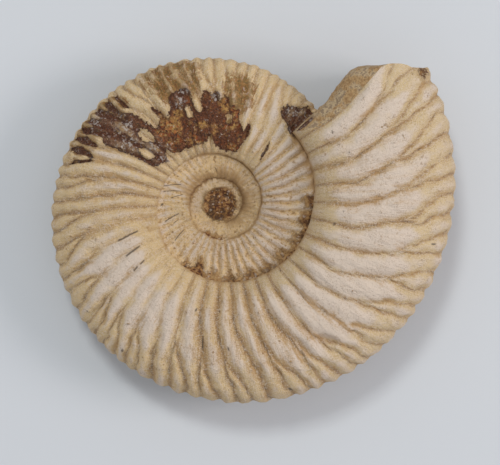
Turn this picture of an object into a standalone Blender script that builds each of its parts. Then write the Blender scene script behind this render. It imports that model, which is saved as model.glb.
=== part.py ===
"""Ammonite fossil: a flat-coiled, ribbed stone shell lying on one side. Metres, +Z up.

The shell is one whorl section swept round a logarithmic spiral. Columns of points run across the
section at equal steps of the spiral angle. A whorl shares its inner edge, the umbilical seam, with
the whorl inside it, so the coil closes into a single solid with no inner walls. Angles run
anticlockwise seen from above and keep counting past 360 degrees, so that one angle names one place.
"""

import math

import bmesh
import bpy
from mathutils import Matrix, Vector

# Driving dimensions, in metres and degrees.
APERTURE_RADIUS = 0.0499
APERTURE_ANGLE = 404.0
TURNS = 3.5
EXPANSION_PER_TURN = 1.87

# The whorl section, as shares of the venter's radius or of the whorl's height.
SEAM_SHARE = (0.33, 0.405)
SEAM_OPENS_FROM = 20.0
SEAM_OPENS_TO = 410.0
HALF_BREADTH_SHARE = 0.275
FLANK_CREST = 0.28
WALL_POWER = 2.4
VENTER_POWER = 2.3
WALL_ROWS_SHARE = 0.35

# Ribs: each starts single at the seam and forks into two before it crosses the venter.
RIBS_PER_TURN = 42
COLUMNS_PER_RIB = 4
RIB_HEIGHT_SHARE = 0.014
SINGLE_RIB = (0.0, 0.8, 1.0, 0.8)
FORKED_RIB = (0.0, 1.0, 0.0, 1.0)
FORK_BELOW = 0.5
FORK_ABOVE = 0.7
RIB_STARTS = 0.12
RIB_LEAN = 8.0
LEAN_GROWS_OVER = 90.0

# Rows of points across the flank: those left in view by the next whorl, and the rest to the venter.
EXPOSED_ROWS = 3
COVERED_ROWS = 4

# The plug of rock in the umbilicus, and the broken mouth: each row ends this many columns early.
PLUG_RADIUS = 0.0036
PLUG_HALF_HEIGHT = 0.0029
MOUTH_SETBACKS = (0, 2, 4, 3, 3, 6, 8, 9)
MOUTH_ANGLE = 404.7
MOUTH_BULGE_POWER = 3.2
MOUTH_SHARES = (0.3, 0.65)

# How it lies: leaning onto two groups of rib crests, on the far side and by the mouth, worn flat there.
REST_LEAN = 3.93
REST_LEAN_TOWARDS = 206.0
WORN_DEPTH = 0.0003

FOSSIL_COLOUR = (0.72, 0.60, 0.43, 1.0)
FOSSIL_ROUGHNESS = 0.85

COLUMNS_PER_TURN = RIBS_PER_TURN * COLUMNS_PER_RIB
COLUMN_STEP = 360.0 / COLUMNS_PER_TURN
LAST_COLUMN = round(TURNS * COLUMNS_PER_TURN)
FIRST_OUTER_COLUMN = LAST_COLUMN - COLUMNS_PER_TURN
SIDE_ROWS = EXPOSED_ROWS + COVERED_ROWS


def smooth_step(low, high, value):
    """0 below low and 1 above high, with an even slope change between them."""
    share = min(max((value - low) / (high - low), 0.0), 1.0)
    return share * share * (3.0 - 2.0 * share)


def column_angle(column):
    return APERTURE_ANGLE + (column - LAST_COLUMN) * COLUMN_STEP


def last_column(row):
    return LAST_COLUMN - MOUTH_SETBACKS[row]


def venter_radius(angle):
    return APERTURE_RADIUS * EXPANSION_PER_TURN ** ((angle - APERTURE_ANGLE) / 360.0)


def seam_radius(angle):
    inner, outer = SEAM_SHARE
    opening = smooth_step(SEAM_OPENS_FROM, SEAM_OPENS_TO, angle)
    return venter_radius(angle) * (inner + (outer - inner) * opening)


def flank_height(angle, share):
    """Height above the coil's mid-plane, at a share of the way from the seam to the venter."""
    past_crest = max(share - FLANK_CREST, 0.0) / (1.0 - FLANK_CREST)
    drop = (1.0 - past_crest**VENTER_POWER) ** (1.0 / VENTER_POWER)
    return HALF_BREADTH_SHARE * venter_radius(angle) * drop


def covered_share(angle):
    """Where the next whorl's seam lies on this whorl, as a share of the way to the venter."""
    seam = seam_radius(angle)
    return (seam_radius(angle + 360.0) - seam) / (venter_radius(angle) - seam)


def seam_height(angle):
    """Height of the seam, in the valley level of the whorl that it lies on."""
    inside = angle - 360.0
    valley = RIB_HEIGHT_SHARE * venter_radius(inside)
    return flank_height(inside, covered_share(inside)) - valley


def section_position(way, angle):
    """Share of the whorl's height and height above mid-plane, at a way from seam (0) to venter (1)."""
    if way < WALL_ROWS_SHARE:
        turn = math.radians(90.0 * way / WALL_ROWS_SHARE)
        rise = math.sin(turn) ** (2.0 / WALL_POWER)
        share = FLANK_CREST * (1.0 - math.cos(turn) ** (2.0 / WALL_POWER))
        low = seam_height(angle)
        return share, low + (flank_height(angle, 0.0) - low) * rise
    turn = math.radians(90.0 * (way - WALL_ROWS_SHARE) / (1.0 - WALL_ROWS_SHARE))
    share = FLANK_CREST + (1.0 - FLANK_CREST) * math.sin(turn) ** (2.0 / VENTER_POWER)
    return share, flank_height(angle, min(share, 1.0))


def way_of_share(share):
    """The way along the section at which it reaches this share, past the flank's crest."""
    past_crest = (share - FLANK_CREST) / (1.0 - FLANK_CREST)
    turn = math.degrees(math.asin(past_crest ** (VENTER_POWER / 2.0)))
    return WALL_ROWS_SHARE + (1.0 - WALL_ROWS_SHARE) * turn / 90.0


def row_way(row, angle):
    """Way along the section of a row: the covered edge is always a row of its own."""
    edge = way_of_share(covered_share(angle))
    if row <= EXPOSED_ROWS:
        return edge * row / EXPOSED_ROWS
    return edge + (1.0 - edge) * (row - EXPOSED_ROWS) / COVERED_ROWS


def rib_relief(column, share):
    """How far the surface stands up, from 0 in a valley to 1 on a rib's crest."""
    phase = column % COLUMNS_PER_RIB
    forked = smooth_step(FORK_BELOW, FORK_ABOVE, share)
    return SINGLE_RIB[phase] * (1.0 - forked) + FORKED_RIB[phase] * forked


def surface_point(column, row):
    """A point of the upper side, in the coil's own frame, whose axis is Z."""
    angle = column_angle(column)
    way = row_way(row, angle)
    share, height = section_position(way, angle)
    nudge = 0.01 if way < 0.99 else -0.01
    next_share, next_height = section_position(way + nudge, angle)
    whorl_height = venter_radius(angle) - seam_radius(angle)
    along = Vector(((next_share - share) * whorl_height, next_height - height))
    along = along.normalized() * math.copysign(1.0, nudge)
    relief = rib_relief(column, share) * smooth_step(0.0, RIB_STARTS, share)
    depth = RIB_HEIGHT_SHARE * venter_radius(angle) * (1.0 - relief)
    if row == 0:
        depth = 0.0
    radius = seam_radius(angle) + share * whorl_height + along.y * depth
    height -= along.x * depth
    if radius < PLUG_RADIUS:
        height = PLUG_HALF_HEIGHT
    edge = covered_share(angle)
    grown = smooth_step(0.0, LEAN_GROWS_OVER, angle - column_angle(FIRST_OUTER_COLUMN))
    lean = RIB_LEAN * grown * max(share - edge, 0.0) / (1.0 - edge)
    turn = math.radians(angle + lean)
    return Vector((radius * math.cos(turn), radius * math.sin(turn), height))


def mirrored(point):
    return Vector((point.x, point.y, -point.z))


def make_side(bm, flip):
    """Points of one side, as side[row, column]. A row on a seam is the next whorl's row 0."""
    side = {}
    for row in range(SIDE_ROWS + 1):
        first = FIRST_OUTER_COLUMN + 1 if row == EXPOSED_ROWS else 0
        first = FIRST_OUTER_COLUMN if row > EXPOSED_ROWS else first
        for column in range(first, last_column(row) + 1):
            side[row, column] = bm.verts.new(flip(surface_point(column, row)))
    for column in range(FIRST_OUTER_COLUMN + 1):
        side[EXPOSED_ROWS, column] = side[0, column + COLUMNS_PER_TURN]
    return side


def join_venter(bm, upper, lower):
    """Makes the two sides share one row of points along the venter."""
    for column in range(FIRST_OUTER_COLUMN, last_column(SIDE_ROWS) + 1):
        bm.verts.remove(lower[SIDE_ROWS, column])
        lower[SIDE_ROWS, column] = upper[SIDE_ROWS, column]


def skin_side(bm, side):
    """Faces between each row and the next. Where one row ends early, a fan runs to its last point."""
    for row in range(SIDE_ROWS):
        first = 0 if row < EXPOSED_ROWS else FIRST_OUTER_COLUMN
        ends = (last_column(row), last_column(row + 1))
        for column in range(first, min(ends)):
            bm.faces.new(
                (
                    side[row, column],
                    side[row, column + 1],
                    side[row + 1, column + 1],
                    side[row + 1, column],
                )
            )
        longer = row if ends[0] > ends[1] else row + 1
        shorter_end = side[2 * row + 1 - longer, min(ends)]
        for column in range(min(ends), max(ends)):
            bm.faces.new((side[longer, column], side[longer, column + 1], shorter_end))


def close_centre(bm, side):
    """A fan of faces from the axis to the innermost turn's inner edge."""
    edge = [side[0, column] for column in range(COLUMNS_PER_TURN + 1)]
    edge += [side[row, 0] for row in range(EXPOSED_ROWS - 1, 0, -1)]
    height = math.copysign(PLUG_HALF_HEIGHT, edge[0].co.z)
    centre = bm.verts.new((0.0, 0.0, height))
    for here, after in zip(edge, edge[1:] + edge[:1]):
        bm.faces.new((centre, here, after))


def zip_rows(bm, outer, inner):
    """Triangles between two rows of points that share both their ends."""
    i = j = 0
    while i < len(outer) - 1 or j < len(inner) - 1:
        outer_next = (i + 1) / (len(outer) - 1)
        inner_next = (j + 1) / (len(inner) - 1)
        if outer_next <= inner_next:
            corners = [outer[i], outer[i + 1], inner[j]]
            i += 1
        else:
            corners = [outer[i], inner[j + 1], inner[j]]
            j += 1
        if len(set(corners)) == 3:
            bm.faces.new(corners)


def mouth_point(outer, inner, share):
    """A point of the mouth's bulging face, at a share of the way from its rim to the inner whorl."""
    place = outer.lerp(inner, share)
    radius = outer.xy.length * (1.0 - share) + inner.xy.length * share
    turn = math.atan2(outer.y, outer.x)
    turn += (math.radians(MOUTH_ANGLE - 360.0) - turn) * (1.0 - (1.0 - share) ** MOUTH_BULGE_POWER)
    return Vector((radius * math.cos(turn), radius * math.sin(turn), place.z))


def close_mouth(bm, upper, lower):
    """The broken mouth: a bulging face from the last section to the whorl that it wraps."""
    outer = [upper[row, last_column(row)] for row in range(SIDE_ROWS + 1)]
    outer += [lower[row, last_column(row)] for row in range(SIDE_ROWS - 1, -1, -1)]
    inner = [upper[row, FIRST_OUTER_COLUMN] for row in range(EXPOSED_ROWS, SIDE_ROWS + 1)]
    inner += [lower[row, FIRST_OUTER_COLUMN] for row in range(SIDE_ROWS - 1, EXPOSED_ROWS - 1, -1)]
    last = len(outer) - 1
    nearest = [inner[round(step * (len(inner) - 1) / last)].co for step in range(last + 1)]
    rim = outer
    for share in MOUTH_SHARES:
        places = [mouth_point(outer[step].co, nearest[step], share) for step in range(1, last)]
        middle = [outer[0], *[bm.verts.new(place) for place in places], outer[-1]]
        zip_rows(bm, rim, middle)
        rim = middle
    zip_rows(bm, rim, inner)


def lie_down(bm):
    """Leans the coil onto its lower side and wears its lowest rib crests flat."""
    turn = math.radians(REST_LEAN_TOWARDS + 90.0)
    hinge = Vector((math.cos(turn), math.sin(turn), 0.0))
    lean = Matrix.Rotation(math.radians(REST_LEAN), 3, hinge)
    bmesh.ops.rotate(bm, cent=(0.0, 0.0, 0.0), matrix=lean, verts=bm.verts)
    floor = min(vert.co.z for vert in bm.verts) + WORN_DEPTH
    cut = bmesh.ops.bisect_plane(
        bm,
        geom=[*bm.verts, *bm.edges, *bm.faces],
        dist=1e-7,
        plane_co=(0.0, 0.0, floor),
        plane_no=(0.0, 0.0, -1.0),
        clear_outer=True,
    )
    rim = [item for item in cut["geom_cut"] if isinstance(item, bmesh.types.BMEdge)]
    bmesh.ops.holes_fill(bm, edges=rim, sides=0)


def stand_on_origin(bm):
    """Moves the fossil so that the middle of its box's underside is the origin."""
    low = Vector([min(vert.co[axis] for vert in bm.verts) for axis in range(3)])
    high = Vector([max(vert.co[axis] for vert in bm.verts) for axis in range(3)])
    middle = (low + high) / 2.0
    bmesh.ops.translate(bm, vec=-Vector((middle.x, middle.y, low.z)), verts=bm.verts)


def stone_material():
    material = bpy.data.materials.new("fossil_stone")
    material.use_nodes = True
    shader = material.node_tree.nodes["Principled BSDF"]
    shader.inputs["Base Color"].default_value = FOSSIL_COLOUR
    shader.inputs["Roughness"].default_value = FOSSIL_ROUGHNESS
    shader.inputs["Metallic"].default_value = 0.0
    return material


def make_ammonite():
    bm = bmesh.new()
    upper = make_side(bm, Vector)
    lower = make_side(bm, mirrored)
    join_venter(bm, upper, lower)
    for side in (upper, lower):
        skin_side(bm, side)
        close_centre(bm, side)
    close_mouth(bm, upper, lower)
    bmesh.ops.recalc_face_normals(bm, faces=bm.faces)
    lie_down(bm)
    stand_on_origin(bm)
    bmesh.ops.triangulate(bm, faces=bm.faces)
    mesh = bpy.data.meshes.new("ammonite")
    bm.to_mesh(mesh)
    bm.free()
    mesh.materials.append(stone_material())
    mesh.shade_smooth()
    fossil = bpy.data.objects.new("ammonite", mesh)
    bpy.context.scene.collection.objects.link(fossil)


for old in list(bpy.data.objects):
    bpy.data.objects.remove(old)
make_ammonite()
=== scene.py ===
"""The finished look of the ammonite fossil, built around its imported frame. Metres, +Z up.

The fine shell repeats the frame's own shape: a whorl section swept round a logarithmic spiral. It
adds the uneven forked ribs, the flaked patch, the seams, the rough mouth and the rock in the middle.
A place on the coil is named by its angle, in degrees anticlockwise and counting past 360, and by its
share of the way from the umbilical seam (0) to the venter (1). Shapes are worked out in units of the
venter's radius at the mouth, then fitted to the frame's box.
"""

import math

import bmesh
import bpy
import numpy as np
from mathutils import Matrix, Vector, noise


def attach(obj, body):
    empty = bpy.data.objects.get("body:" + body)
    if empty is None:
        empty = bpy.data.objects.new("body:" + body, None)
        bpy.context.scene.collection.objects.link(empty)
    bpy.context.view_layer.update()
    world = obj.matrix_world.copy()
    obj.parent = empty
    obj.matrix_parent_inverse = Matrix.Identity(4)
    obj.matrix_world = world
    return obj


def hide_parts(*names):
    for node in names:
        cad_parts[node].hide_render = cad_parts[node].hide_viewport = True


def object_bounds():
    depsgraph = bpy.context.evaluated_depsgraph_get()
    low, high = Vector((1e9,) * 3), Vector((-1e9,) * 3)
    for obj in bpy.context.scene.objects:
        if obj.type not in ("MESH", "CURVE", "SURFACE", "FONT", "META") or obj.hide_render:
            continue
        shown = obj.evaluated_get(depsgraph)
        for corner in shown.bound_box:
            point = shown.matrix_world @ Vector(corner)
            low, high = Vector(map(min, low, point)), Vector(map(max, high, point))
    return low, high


bl_info = {
    "name": "Ammonite fossil",
    "version": (1, 0, 0),
    "blender": (4, 5, 0),
    "location": "3D View > Sidebar > Fossil",
    "description": "Builds a ribbed ammonite fossil and the studio it is seen in",
    "category": "Add Mesh",
}

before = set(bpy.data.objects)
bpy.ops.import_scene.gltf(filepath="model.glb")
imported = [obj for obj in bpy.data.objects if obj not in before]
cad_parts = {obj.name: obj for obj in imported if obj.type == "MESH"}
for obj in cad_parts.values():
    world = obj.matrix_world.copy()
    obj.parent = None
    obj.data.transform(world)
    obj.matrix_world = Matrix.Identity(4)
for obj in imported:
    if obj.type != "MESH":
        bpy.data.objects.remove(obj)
FRAME_LOW, FRAME_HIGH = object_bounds()

# The spiral and the whorl section.
MOUTH_ANGLE = 404
EXPANSION_PER_TURN = 1.87
SEAM_SHARE = (0.33, 0.405)
SEAM_OPENS = (20, 410)
HALF_BREADTH = 0.275
FLANK_CREST = 0.28
WALL_POWERS = (
    (-700, -30, 44, 100, 130, 230, 300, 370),
    (1.6, 1.7, 2.2, 2, 1.5, 1.5, 1.9, 2.4),
)
VENTER_POWER = 2.3
LEAN = 3.93
LEAN_TOWARDS = 206

# The grid of points: columns round the coil, and rows across the upper and the lower side, given as
# those left in view by the next whorl and all of them.
COLUMN_STEP = 0.6
COLUMNS_PER_TURN = 600
LAST_COLUMN = 2100
FIRST_OUTER_COLUMN = LAST_COLUMN - COLUMNS_PER_TURN
UPPER_ROWS = (20, 48)
LOWER_ROWS = (10, 24)
WALL_ROWS_SHARE = 0.4
START_ANGLE = MOUTH_ANGLE - LAST_COLUMN * COLUMN_STEP

# The grooves between the ribs, as angles at the flank's crest from the mouth back. Older ones are
# evenly spaced. A rib has one or two branches where it crosses the venter, in repeated patterns.
GROOVES = (
    405.3, 396, 387.5, 377.5, 369, 359.5, 350, 340, 331, 321.5, 313, 304, 295.5,
    286.5, 278, 269.5, 261, 250, 241.5, 233, 225, 217, 208, 199, 190, 181,
    173, 165, 157, 149.5,
)
OLDER_SPACING = 7.5
LAST_GROOVE = 430
BRANCHES_EARLY = (2, 2, 1)
BRANCHES_MIDDLE = (2, 2, 2, 1)
BRANCHES_CHANGE = (210, 307)
FORK_SHARES = (0.56, 0.68)
RIB_ROUNDNESS = 3
RIB_HEIGHTS = (0.0225, 0.0155)
LEAN_CURVE = ((0, 0.3, 0.45, 0.6, 0.8, 1), (0.22, 0, 0.28, 0.58, 0.82, 1))

# Where the broken edge of the last whorl lies, as (share, angle), and the rock that fills it.
MOUTH_EDGE = (
    (0, 404), (0.03, 402.5), (0.08, 399.5), (0.15, 397.3), (0.23, 396.4), (0.405, 396.8),
    (0.58, 398.6), (0.72, 399.8), (0.8, 399), (0.9, 395.3), (0.97, 393.6), (1, 393.2),
)
MOUTH_COLUMNS = 40
MOUTH_BULGES = (
    (0, 0.215, 0.282, 0.424, 0.556, 0.646, 0.747, 0.88, 1),
    (402.5, 403.4, 403.1, 404.9, 406.2, 405.2, 402.2, 397.5, 393.6),
)
MOUTH_BULGE_POWER = 3.7
MOUTH_RINGS = 14

# The rock in the middle of the coil, and the crusts that follow seams: (from, to, amount).
PLUG_RADIUS = 0.0735
PLUG_HEIGHT = 0.056
SEAM_CRUSTS = (
    (-24, 7, 0.95), (-98, -24, 0.85), (-122, -94, 1), (-480, -445, 1),
    (-700, -545, 0.85),
)

FLAKE_DEPTH = 0.011
CHIP_DEPTH = 0.008
LUMP_HEIGHT = 0.0026
RIDGE_HEIGHT = 0.0028
LIP_HEIGHT = 0.015
BUMP_HEIGHT = 0.0004
SHELL_ROUGHNESS = 0.8
FLOOR_ROUGHNESS = 0.7
WORLD_COLOUR = (0.9, 0.94, 0.98, 1)
WORLD_POWER = 0.56
FRAME_MARGIN = 1.223
MM_PER_PLACE = np.array((0.31, 19.0))
FAR_OUTSIDE = -5.0

# How deeply seams are stained, and how warm and how pale the shell is, as (angles, amounts).
SEAM_STAINS = (
    (-700, -520, -430, -370, -350, -200, -170, -110, -60, -10, 44, 60, 110, 120, 150, 200, 240, 250,
     345, 404),
    (0.3, 0.3, 0.4, 1, 1.1, 1, 0.5, 0.5, 0.7, 0.6, 0.8, 0.7, 0.5, 0.3, 0.2, 0.3, 0.4, 0.5, 0.6, 0.8),
)
SEAM_DEPTHS = (
    (-700, -220, -180, -70, -20, 44, 100, 140, 240, 300, 360),
    (0.3, 0.2, 0, 0, 0.2, 0.4, 0.15, 0.05, 0.05, 0.3, 0.6),
)
SEAM_FILLS = (
    (-700, -320, -200, -170, -60, -20, 44, 100, 140, 240, 280, 330, 360),
    (0.004, 0.006, 0.008, 0.02, 0.02, 0.009, 0.004, 0.01, 0.016, 0.016, 0.01, 0.006, 0),
)
WARMTH = (
    (-340, -60, 0, 44, 60, 75, 105, 140, 160, 170, 190, 202, 240, 255, 265, 290, 312, 330, 352, 362,
     380, 394),
    (0.6, 0.8, 0.6, 0.45, 0.35, 0.6, 0.6, 0.4, 0.45, 0.8, 0.75, 0.35, 0.35, 0.65, 0.9, 0.8, 0.55,
     0.5, 0.65, 0.75, 0.65, 0.35),
)
PALENESS = (
    (-340, -90, -40, 20, 70, 90, 160, 192, 205, 245, 265, 290, 305, 345, 404),
    (0.45, 0.5, 0.65, 0.75, 0.5, 0.3, 0.3, 0.35, 0.85, 0.8, 0.5, 0.6, 0.95, 0.9, 0.65),
)

# Amber and pale crystals, as (angle, share, radius in mm).
AMBER_SPOTS = (
    (86.5, 0.52, 1.6), (119, 0.38, 2.2), (114, 0.45, 1.5), (101, 0.3, 1.2), (93, 0.25, 1.4),
    (392.8, 0.95, 1.6),
)
PALE_SPOTS = (
    (107, 0.7, 2), (111.5, 0.57, 1.6), (91, 0.6, 1.2), (140, 0.13, 1), (137.5, 0.3, 1.3),
    (146, 0.5, 1.4), (139, 0.62, 1.2), (146, 0.9, 1.5), (80.5, 0.72, 1.2), (131, 0.2, 0.9),
    (52, 0.8, 1.2),
)

# Scratches and dots, as (angle, share) at each end and half the width in degrees.
MARKS = (
    (200.1, 0.363, 198.4, 0.167, 0.6), (209.4, 0.335, 208.2, 0.187, 0.6),
    (218.2, 0.33, 217.9, 0.28, 0.6), (217.6, 0.25, 217.2, 0.2, 0.45),
    (-162, 0.41, -167, 0.173, 0.7), (-157, 0.287, -159, 0.206, 0.5),
    (-140.7, 0.378, -144.1, 0.167, 0.6), (-262.8, 0.194, -265, 0.115, 0.7),
    (-197.8, 0.48, -207, 0.24, 0.6), (-192.9, 0.45, -197.9, 0.2, 0.5),
    (-186.9, 0.31, -194, 0.13, 0.6), (-179, 0.46, -179.8, 0.42, 1.4),
    (350.5, 0.178, 350.4, 0.162, 0.75), (349.6, 0.915, 349.4, 0.885, 0.25),
    (236.6, 0.9, 236.4, 0.87, 0.4), (291.1, 0.945, 290.9, 0.915, 0.45),
    (258.4, 0.27, 258.7, 0.24, 0.5), (271.2, 0.235, 271, 0.215, 0.45),
    (274.5, 0.54, 274.3, 0.51, 0.4), (263.9, 0.56, 263.7, 0.45, 0.28),
)

# What the skin carries at each face corner: three looks to a layer.
LOOKS = ("angle_share_relief", "flaked_crust_rock", "olive_dirt_chip", "warm_pale_amber")

# Where the shell has flaked off and what is left there, as (angle, share in hundredths).
FLAKED_PATCH = (
    (66, 30), (67, 38), (69.5, 43), (70.5, 30), (76, 40), (77, 50), (80, 53), (83, 52), (84, 60),
    (87, 62), (89, 55), (90, 65), (92, 66), (93, 60), (96, 66), (98.5, 62), (99.5, 55), (104, 55),
    (104, 65), (106, 70), (109, 70), (115.5, 65), (116, 55), (118, 50), (120.5, 44), (122, 55),
    (124, 62), (126, 62), (124.5, 50), (126, 45), (128.5, 41), (130, 45), (131.5, 55),
    (133.5, 71), (133.5, 95), (140, 99), (152, 98), (157, 97), (160, 95), (162, 90), (164, 88),
    (163.5, 82), (161, 70), (158, 74), (155, 74.5), (152.5, 75), (152, 60), (150.5, 40),
    (150, 12), (147, 14), (142, 10), (139.5, 10), (137, 14), (133.5, 19), (131, 10), (120, 8),
    (112, 10), (105, 10), (100, 13), (95, 20), (95, 10), (88, 5), (80, 3), (74, 5), (70, 8),
)
FLAKED_OUTLINES = (
    FLAKED_PATCH,
    ((57, 73), (54, 67), (49, 63), (44, 60), (41, 62), (41, 99), (45, 99), (48, 94),
     (51, 87), (55, 81)),
    ((45.8, 15), (47.5, 17), (50, 28), (51.2, 38), (49, 35), (47, 26)),
    ((391.6, 93.5), (392.6, 92), (393.9, 93.5), (393.8, 98.5), (392.2, 97.5)),
)
SHELL_ISLANDS = (
    ((133.5, 36), (136, 33), (139.5, 38), (139, 50), (135.5, 51), (133.3, 45)),
    ((141.5, 25), (143, 21), (147, 22), (147.5, 32), (145, 38), (142, 34)),
    ((99.5, 45), (101.5, 42), (104, 50), (103.5, 60), (102, 70), (100, 60)),
    ((105.5, 40), (109, 38), (109.5, 50), (106.5, 52)),
    ((80.5, 35), (84, 33), (85, 42), (81.5, 44)),
)
OLIVE_AREAS = (
    ((101, 74), (103, 66), (107, 60), (112, 60), (116, 62), (118, 72), (120, 86),
     (117, 100), (103, 102), (101, 88)),
    ((74, 56), (77, 50), (83, 50), (85, 66), (84, 80), (77, 82), (74, 72)),
    ((92, 30), (96, 16), (86, 12), (76, 20), (78, 34), (86, 36)),
    ((134, 78), (142, 76), (149, 80), (157, 78), (160, 90), (153, 100), (136, 100)),
)
CHIPS = (
    ((306.6, 63), (308, 60), (310.2, 62), (311.6, 68), (312, 74), (310, 75), (307.6, 70)),
)


def smooth(low, high, value):
    """0 below low and 1 above high, with an even change of slope between them."""
    share = np.clip((value - low) / (high - low), 0, 1)
    return share * share * (3 - 2 * share)


def venter_radius(angle):
    return EXPANSION_PER_TURN ** ((angle - MOUTH_ANGLE) / 360)


def seam_radius(angle):
    inner, outer = SEAM_SHARE
    wobble = 0.011 * np.sin(angle * 0.12) + 0.008 * np.sin(angle * 0.29 + 1)
    wobble += 0.006 * np.sin(angle * 0.63 + 2) + 0.004 * np.sin(angle * 1.3)
    even = 1 + wobble * (1 - 0.7 * smooth(0, 60, angle))
    return venter_radius(angle) * (inner + (outer - inner) * smooth(*SEAM_OPENS, angle)) * even


def flank_height(angle, share):
    """Height over the coil's mid-plane, for a share past the flank's crest or level with it."""
    past_crest = np.clip((share - FLANK_CREST) / (1 - FLANK_CREST), 0, 1)
    drop = (1 - past_crest**VENTER_POWER) ** (1 / VENTER_POWER)
    return HALF_BREADTH * venter_radius(angle) * drop


def covered_share(angle):
    """Where the next whorl's seam lies on this whorl."""
    seam = seam_radius(angle)
    return (seam_radius(angle + 360) - seam) / (venter_radius(angle) - seam)


def seam_height(angle):
    """Height of a whorl's seam, down in the grooves of the whorl that it lies on."""
    inside = angle - 360
    groove = RIB_HEIGHTS[0] * venter_radius(inside) * np.interp(angle, *SEAM_DEPTHS)
    return flank_height(inside, covered_share(inside)) - groove


def row_places(rows, angles):
    """Share and height of each point: one row for each step from the seam, one column an angle."""
    exposed, last = rows
    row = np.arange(last + 1)[:, None]
    way = np.where(row <= exposed, row / exposed, 1 + (row - exposed) / (last - exposed))
    edge = covered_share(angles)
    power = np.interp(angles, *WALL_POWERS)
    wall_turn = np.clip(way / WALL_ROWS_SHARE, 0, 1) * math.pi / 2
    wall = FLANK_CREST * (1 - np.cos(wall_turn) ** (2 / power))
    rise = np.sin(wall_turn) ** (2 / power)
    past_wall = np.clip((way - WALL_ROWS_SHARE) / (1 - WALL_ROWS_SHARE), 0, 1)
    flank = FLANK_CREST + (edge - FLANK_CREST) * past_wall
    edge_turn = np.arcsin(((edge - FLANK_CREST) / (1 - FLANK_CREST)) ** (VENTER_POWER / 2))
    turn = edge_turn + (math.pi / 2 - edge_turn) * np.clip(way - 1, 0, 1)
    venter = FLANK_CREST + (1 - FLANK_CREST) * np.sin(turn) ** (2 / VENTER_POWER)
    share = np.where(way <= WALL_ROWS_SHARE, wall, np.where(way <= 1, flank, venter))
    return share, rise


def list_grooves():
    """Angles of the grooves at the flank's crest, the number of branches between each two, and
    the same grooves at the venter, where the branches have spread out evenly."""
    chance = np.random.default_rng(7)
    grooves = list(GROOVES[::-1])
    while grooves[0] > START_ANGLE - 20:
        grooves.insert(0, grooves[0] - OLDER_SPACING + chance.uniform(-0.4, 0.4))
    while grooves[-1] < LAST_GROOVE:
        grooves.append(2 * grooves[-1] - grooves[-2])
    grooves = np.array(grooves)
    branches = np.full(len(grooves), 2)
    early = grooves < BRANCHES_CHANGE[0]
    middle = (grooves >= BRANCHES_CHANGE[0]) & (grooves < BRANCHES_CHANGE[1])
    branches[early] = np.resize(BRANCHES_EARLY, early.sum())
    branches[middle] = np.resize(BRANCHES_MIDDLE, middle.sum())
    spacing = np.diff(grooves) / branches[:-1]
    for _ in range(3):
        padded = np.pad(spacing, 1, mode="edge")
        spacing = 0.25 * padded[:-2] + 0.5 * padded[1:-1] + 0.25 * padded[2:]
    spread = np.concatenate([[0], np.cumsum(spacing * branches[:-1])])
    shift = spread - grooves
    shift -= np.convolve(np.pad(shift, 4, mode="edge"), np.full(9, 1 / 9), mode="valid")
    forks = chance.uniform(*FORK_SHARES, len(grooves))
    return grooves, grooves + shift, branches, forks


FLANK_GROOVES, VENTER_GROOVES, BRANCHES, FORKS = list_grooves()


def rib_lean(angle, share):
    """How far, in degrees, a rib leans towards the mouth at this share."""
    full = 3 + 2 * smooth(60, 120, angle) + 3.5 * smooth(300, 385, angle)
    wave = 0.32 * np.sin(share * 7 + angle * 0.35) + 0.2 * np.sin(share * 13 - angle * 0.21)
    wave += 0.16 * np.sin(share * 31 + angle * 0.9) + 0.12 * np.sin(share * 47 - angle * 1.3)
    return full * np.interp(share, *LEAN_CURVE) + wave * smooth(0.1, 0.4, share)


def rib_profile(angle, across):
    """Height of a rib, 1 in its middle and 0 at -1 and 1. Ribs near the mouth are fuller."""
    full = 1 - np.abs(across) ** RIB_ROUNDNESS
    slim = 0.5 + 0.5 * np.cos(across * math.pi)
    fullness = 0.2 + 0.4 * smooth(285, 335, angle)
    return slim + (full - slim) * fullness


def rib_relief(angle, share):
    """How far the ribs stand up, from 0 in a groove to 1 on a crest."""
    place = angle - rib_lean(angle, share)
    count = np.arange(len(FLANK_GROOVES))
    flank = np.interp(place, FLANK_GROOVES, count)
    venter = np.interp(place, VENTER_GROOVES, count)
    phase = flank + (venter - flank) * smooth(0.5, 0.9, share)
    rib = np.clip(phase.astype(int), 0, len(count) - 1)
    across = phase - rib
    single = rib_profile(angle, 2 * across - 1)
    fork = FORKS[rib]
    split = 0.08 + 0.42 * smooth(fork - 0.02, 0.93, share)
    older = across < split
    spread = np.where(older, across / split, 1 + (across - split) / (1 - split)) % 1
    twin = rib_profile(angle, 2 * spread - 1)
    twin = np.where(older, twin * np.minimum((2 * split) ** 0.5, 1), twin)
    forked = smooth(fork - 0.06, fork + 0.08, share) * (BRANCHES[rib] == 2)
    return single + (twin - single) * forked


def worn_share(angle, share):
    """1 where the last whorl's flank is worn almost smooth."""
    worn = smooth(176, 196, angle) * (1 - smooth(236, 262, angle))
    faint = smooth(40, 48, angle) * (1 - smooth(90, 104, angle))
    return np.maximum(worn * (1 - smooth(0.45, 0.72, share)), faint * (0.65 - 0.3 * share))


def rib_height(angle, share):
    """Depth of the grooves, in shares of the mouth's venter radius."""
    flank, venter = RIB_HEIGHTS
    height = flank + (venter - flank) * smooth(0.7, 1, share)
    height *= 0.08 + 0.25 * smooth(-430, -370, angle) + 0.67 * smooth(-260, 20, angle)
    inner_wear = smooth(-215, -180, angle) * (1 - smooth(-130, -80, angle))
    height *= 1 - 0.75 * inner_wear
    height *= 1 - 0.55 * worn_share(angle, share)
    height *= 1 - 0.12 * smooth(240, 262, angle)
    return venter_radius(angle) * height * (0.25 + 0.75 * smooth(0, 0.15, share))


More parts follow.
